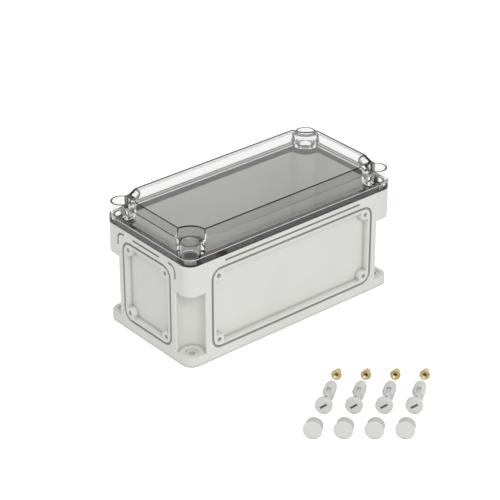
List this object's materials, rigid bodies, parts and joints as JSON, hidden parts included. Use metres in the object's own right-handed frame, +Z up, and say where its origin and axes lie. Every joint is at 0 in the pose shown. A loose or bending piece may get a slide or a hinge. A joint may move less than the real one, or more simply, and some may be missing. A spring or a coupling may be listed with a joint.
{
  "type": "electrical enclosure",
  "caption": "Wall-mounting plastic electrical enclosure with a clear screwed lid, knock-out flange panels on every side, and its caps, lid screws and brass inserts beside it.",
  "frame": {"origin": "middle of the base's underside, on the plane that the box and its loose hardware rest on", "axes": "+X along the long side, +Y across the box away from the loose hardware, +Z up out of the lid"},
  "size_m": [0.3, 0.4037, 0.16],
  "materials": {
    "base_plastic": "satin",
    "clear_plastic": "clear, polished",
    "seal_rubber": "matt",
    "hardware_plastic": "satin",
    "brass": "machined"
  },
  "bodies": {
    "base": {"base_box": "base_plastic"},
    "lid": {"clear_lid": "clear_plastic", "lid_gasket": "seal_rubber"},
    "cover_cap_1": {"cover_cap_1": "hardware_plastic"},
    "cover_cap_2": {"cover_cap_2": "hardware_plastic"},
    "cover_cap_3": {"cover_cap_3": "hardware_plastic"},
    "cover_cap_4": {"cover_cap_4": "hardware_plastic"},
    "lid_screw_1": {"lid_screw_1": "hardware_plastic"},
    "lid_screw_2": {"lid_screw_2": "hardware_plastic"},
    "lid_screw_3": {"lid_screw_3": "hardware_plastic"},
    "lid_screw_4": {"lid_screw_4": "hardware_plastic"},
    "brass_insert_1": {"brass_insert_1": "brass"},
    "brass_insert_2": {"brass_insert_2": "brass"},
    "brass_insert_3": {"brass_insert_3": "brass"},
    "brass_insert_4": {"brass_insert_4": "brass"}
  },
  "joints": [
    {"name": "lid_lift", "type": "slide", "parent": "base", "child": "lid", "axis": [0, 0, 1], "range_m": [0, 0.1]},
    {"name": "cover_cap_1_lift", "type": "slide", "parent": "base", "child": "cover_cap_1", "axis": [0, 0, 1], "range_m": [0, 0.04]},
    {"name": "cover_cap_2_lift", "type": "slide", "parent": "base", "child": "cover_cap_2", "axis": [0, 0, 1], "range_m": [0, 0.04]},
    {"name": "cover_cap_3_lift", "type": "slide", "parent": "base", "child": "cover_cap_3", "axis": [0, 0, 1], "range_m": [0, 0.04]},
    {"name": "cover_cap_4_lift", "type": "slide", "parent": "base", "child": "cover_cap_4", "axis": [0, 0, 1], "range_m": [0, 0.04]},
    {"name": "lid_screw_1_lift", "type": "slide", "parent": "base", "child": "lid_screw_1", "axis": [0, 0, 1], "range_m": [0, 0.04]},
    {"name": "lid_screw_2_lift", "type": "slide", "parent": "base", "child": "lid_screw_2", "axis": [0, 0, 1], "range_m": [0, 0.04]},
    {"name": "lid_screw_3_lift", "type": "slide", "parent": "base", "child": "lid_screw_3", "axis": [0, 0, 1], "range_m": [0, 0.04]},
    {"name": "lid_screw_4_lift", "type": "slide", "parent": "base", "child": "lid_screw_4", "axis": [0, 0, 1], "range_m": [0, 0.04]},
    {"name": "brass_insert_1_lift", "type": "slide", "parent": "base", "child": "brass_insert_1", "axis": [0, 0, 1], "range_m": [0, 0.04]},
    {"name": "brass_insert_2_lift", "type": "slide", "parent": "base", "child": "brass_insert_2", "axis": [0, 0, 1], "range_m": [0, 0.04]},
    {"name": "brass_insert_3_lift", "type": "slide", "parent": "base", "child": "brass_insert_3", "axis": [0, 0, 1], "range_m": [0, 0.04]},
    {"name": "brass_insert_4_lift", "type": "slide", "parent": "base", "child": "brass_insert_4", "axis": [0, 0, 1], "range_m": [0, 0.04]}
  ]
}
